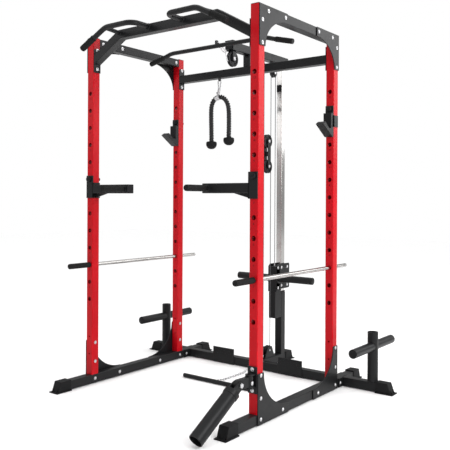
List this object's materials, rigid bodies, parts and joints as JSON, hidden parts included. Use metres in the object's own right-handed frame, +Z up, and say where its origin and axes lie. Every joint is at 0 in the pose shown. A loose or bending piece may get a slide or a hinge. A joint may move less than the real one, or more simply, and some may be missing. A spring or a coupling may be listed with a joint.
{
  "type": "power cage",
  "caption": "Steel power cage with pull-up bar, plate-loaded cable tower, bar hooks, dip arms, safety bars, floor-level press sleeve and plate storage pegs.",
  "frame": {"origin": "bottom centre of the object's box, on the floor", "axes": "+Z up; +X to the right seen from the open front; +Y from the open front to the cable tower at the rear"},
  "size_m": [1.84, 1.6958, 2.034],
  "materials": {
    "red_paint": "satin red powder coat",
    "black_steel": "fine textured black powder coat",
    "chrome": "polished chrome plate",
    "zinc_steel": "zinc plated steel",
    "black_plastic": "moulded nylon",
    "rope": "twisted nylon rope",
    "rubber": "moulded rubber"
  },
  "bodies": {
    "frame": {"upright_front_left": "red_paint", "upright_front_right": "red_paint", "upright_rear_left": "red_paint", "upright_rear_right": "red_paint", "base_beam_left": "black_steel", "base_beam_right": "black_steel", "top_beam_left": "black_steel", "top_beam_right": "black_steel", "top_gusset_front_left": "black_steel", "top_gusset_front_right": "black_steel", "top_gusset_rear_left": "black_steel", "top_gusset_rear_right": "black_steel", "base_gusset_front_left": "black_steel", "base_gusset_front_right": "black_steel", "base_gusset_rear_left": "black_steel", "base_gusset_rear_right": "black_steel", "rear_top_crossbeam": "black_steel", "rear_base_crossbeam": "black_steel", "plate_storage_left": "black_steel", "plate_storage_right": "black_steel", "pull_up_bar": "black_steel", "tower_base": "black_steel", "lower_post": "black_steel", "guide_tube": "chrome", "top_boom": "black_steel", "landmine_bracket": "black_steel", "upper_cable": "zinc_steel", "lower_cable": "zinc_steel", "carriage_cable": "zinc_steel", "lat_cable": "zinc_steel"},
    "carriage": {"carriage": "black_steel"},
    "floating_block": {"floating_block": "black_steel"},
    "lat_bar": {"lat_bar": "black_steel", "lat_carabiner": "zinc_steel"},
    "low_row": {"low_row_bar": "black_steel", "row_chain": "zinc_steel"},
    "rope": {"rope_clamp": "zinc_steel", "rope_strand_left": "rope", "rope_strand_right": "rope", "rope_ball_left": "rubber", "rope_ball_right": "rubber"},
    "landmine_swivel": {"landmine_swivel": "black_steel"},
    "landmine_sleeve": {"landmine_sleeve": "black_steel"},
    "front_pulley": {"front_pulley": "black_plastic"},
    "boom_pulley": {"boom_pulley": "black_plastic"},
    "top_pulley": {"top_pulley": "black_plastic"},
    "low_pulley": {"low_pulley": "black_plastic"},
    "floating_pulley_upper": {"floating_pulley_upper": "black_plastic"},
    "floating_pulley_lower": {"floating_pulley_lower": "black_plastic"},
    "upper_front_roller": {"upper_front_roller": "black_plastic"},
    "upper_rear_roller": {"upper_rear_roller": "black_plastic"},
    "lower_front_roller": {"lower_front_roller": "black_plastic"},
    "lower_rear_roller": {"lower_rear_roller": "black_plastic"},
    "jcup_left": {"jcup_left": "black_steel"},
    "jcup_right": {"jcup_right": "black_steel"},
    "dip_arm_left": {"dip_arm_left": "black_steel"},
    "dip_arm_right": {"dip_arm_right": "black_steel"},
    "safety_bar_left": {"safety_bar_left": "chrome"},
    "safety_bar_right": {"safety_bar_right": "chrome"}
  },
  "joints": [
    {"name": "carriage_slide", "type": "slide", "parent": "frame", "child": "carriage", "axis": [0, 0, 1], "range_m": [0, 1.1], "deforming": ["carriage_cable"]},
    {"name": "lat_bar_slide", "type": "slide", "parent": "frame", "child": "lat_bar", "axis": [0, 0, -1], "range_m": [0, 1.1], "deforming": ["lat_cable"]},
    {"name": "block_slide", "type": "slide", "parent": "frame", "child": "floating_block", "axis": [0, 0, -1], "range_m": [0, 0.45], "deforming": ["upper_cable", "lower_cable"]},
    {"name": "low_row_slide", "type": "slide", "parent": "frame", "child": "low_row", "axis": [0, -1, 0], "range_m": [0, 0.9]},
    {"name": "front_pulley_spin", "type": "hinge", "parent": "frame", "child": "front_pulley", "pos_m": [0, 0.16794, 1.9298], "axis": [1, 0, 0], "continuous": true},
    {"name": "boom_pulley_spin", "type": "hinge", "parent": "frame", "child": "boom_pulley", "pos_m": [0, 0.47294, 1.9328], "axis": [1, 0, 0], "continuous": true},
    {"name": "top_pulley_spin", "type": "hinge", "parent": "frame", "child": "top_pulley", "pos_m": [0, 0.61944, 1.915], "axis": [1, 0, 0], "continuous": true},
    {"name": "floating_upper_spin", "type": "hinge", "parent": "floating_block", "child": "floating_pulley_upper", "pos_m": [0, 0.55294, 1.46], "axis": [1, 0, 0], "continuous": true},
    {"name": "floating_lower_spin", "type": "hinge", "parent": "floating_block", "child": "floating_pulley_lower", "pos_m": [0, 0.55294, 1.296], "axis": [1, 0, 0], "continuous": true},
    {"name": "low_pulley_spin", "type": "hinge", "parent": "frame", "child": "low_pulley", "pos_m": [0, 0.56644, 0.1], "axis": [1, 0, 0], "continuous": true},
    {"name": "upper_front_roller_spin", "type": "hinge", "parent": "carriage", "child": "upper_front_roller", "pos_m": [0, 0.67964, 0.632], "axis": [1, 0, 0], "continuous": true},
    {"name": "lower_front_roller_spin", "type": "hinge", "parent": "carriage", "child": "lower_front_roller", "pos_m": [0, 0.67964, 0.512], "axis": [1, 0, 0], "continuous": true},
    {"name": "upper_rear_roller_spin", "type": "hinge", "parent": "carriage", "child": "upper_rear_roller", "pos_m": [0, 0.75024, 0.632], "axis": [1, 0, 0], "continuous": true},
    {"name": "lower_rear_roller_spin", "type": "hinge", "parent": "carriage", "child": "lower_rear_roller", "pos_m": [0, 0.75024, 0.512], "axis": [1, 0, 0], "continuous": true},
    {"name": "jcup_left_slide", "type": "slide", "parent": "frame", "child": "jcup_left", "axis": [0, -1, 0], "range_m": [0, 0.12]},
    {"name": "dip_arm_left_slide", "type": "slide", "parent": "frame", "child": "dip_arm_left", "axis": [0, -1, 0], "range_m": [0, 0.12]},
    {"name": "safety_bar_left_slide", "type": "slide", "parent": "frame", "child": "safety_bar_left", "axis": [0, -1, 0], "range_m": [0, 0.96]},
    {"name": "jcup_right_slide", "type": "slide", "parent": "frame", "child": "jcup_right", "axis": [0, -1, 0], "range_m": [0, 0.12]},
    {"name": "dip_arm_right_slide", "type": "slide", "parent": "frame", "child": "dip_arm_right", "axis": [0, -1, 0], "range_m": [0, 0.12]},
    {"name": "safety_bar_right_slide", "type": "slide", "parent": "frame", "child": "safety_bar_right", "axis": [0, -1, 0], "range_m": [0, 0.96]},
    {"name": "rope_swing", "type": "hinge", "parent": "frame", "child": "rope", "pos_m": [-0.231, 0.33944, 1.85], "axis": [1, 0, 0], "range_deg": [-35, 35]},
    {"name": "landmine_swivel_turn", "type": "hinge", "parent": "frame", "child": "landmine_swivel", "pos_m": [0.583, -0.47256, 0.219], "axis": [0, 0, 1], "range_deg": [-60, 60]},
    {"name": "landmine_sleeve_pitch", "type": "hinge", "parent": "landmine_swivel", "child": "landmine_sleeve", "pos_m": [0.57603, -0.55226, 0.219], "axis": [-0.9962, 0.0872, 0], "range_deg": [0, 95]}
  ],
  "couplings": [
    {"joint": "lat_bar_slide", "follows": "carriage_slide", "ratio": 1},
    {"joint": "low_row_slide", "follows": "block_slide", "ratio": 2},
    {"joint": "front_pulley_spin", "follows": "carriage_slide", "rad_per_m": 23.256},
    {"joint": "boom_pulley_spin", "follows": "carriage_slide", "rad_per_m": 25},
    {"joint": "top_pulley_spin", "follows": "carriage_slide", "rad_per_m": 37.736},
    {"joint": "floating_upper_spin", "follows": "carriage_slide", "rad_per_m": -25},
    {"joint": "floating_lower_spin", "follows": "block_slide", "rad_per_m": -25},
    {"joint": "low_pulley_spin", "follows": "block_slide", "rad_per_m": -75.472},
    {"joint": "upper_front_roller_spin", "follows": "carriage_slide", "rad_per_m": -66.667},
    {"joint": "lower_front_roller_spin", "follows": "carriage_slide", "rad_per_m": -66.667},
    {"joint": "upper_rear_roller_spin", "follows": "carriage_slide", "rad_per_m": 66.667},
    {"joint": "lower_rear_roller_spin", "follows": "carriage_slide", "rad_per_m": 66.667}
  ]
}
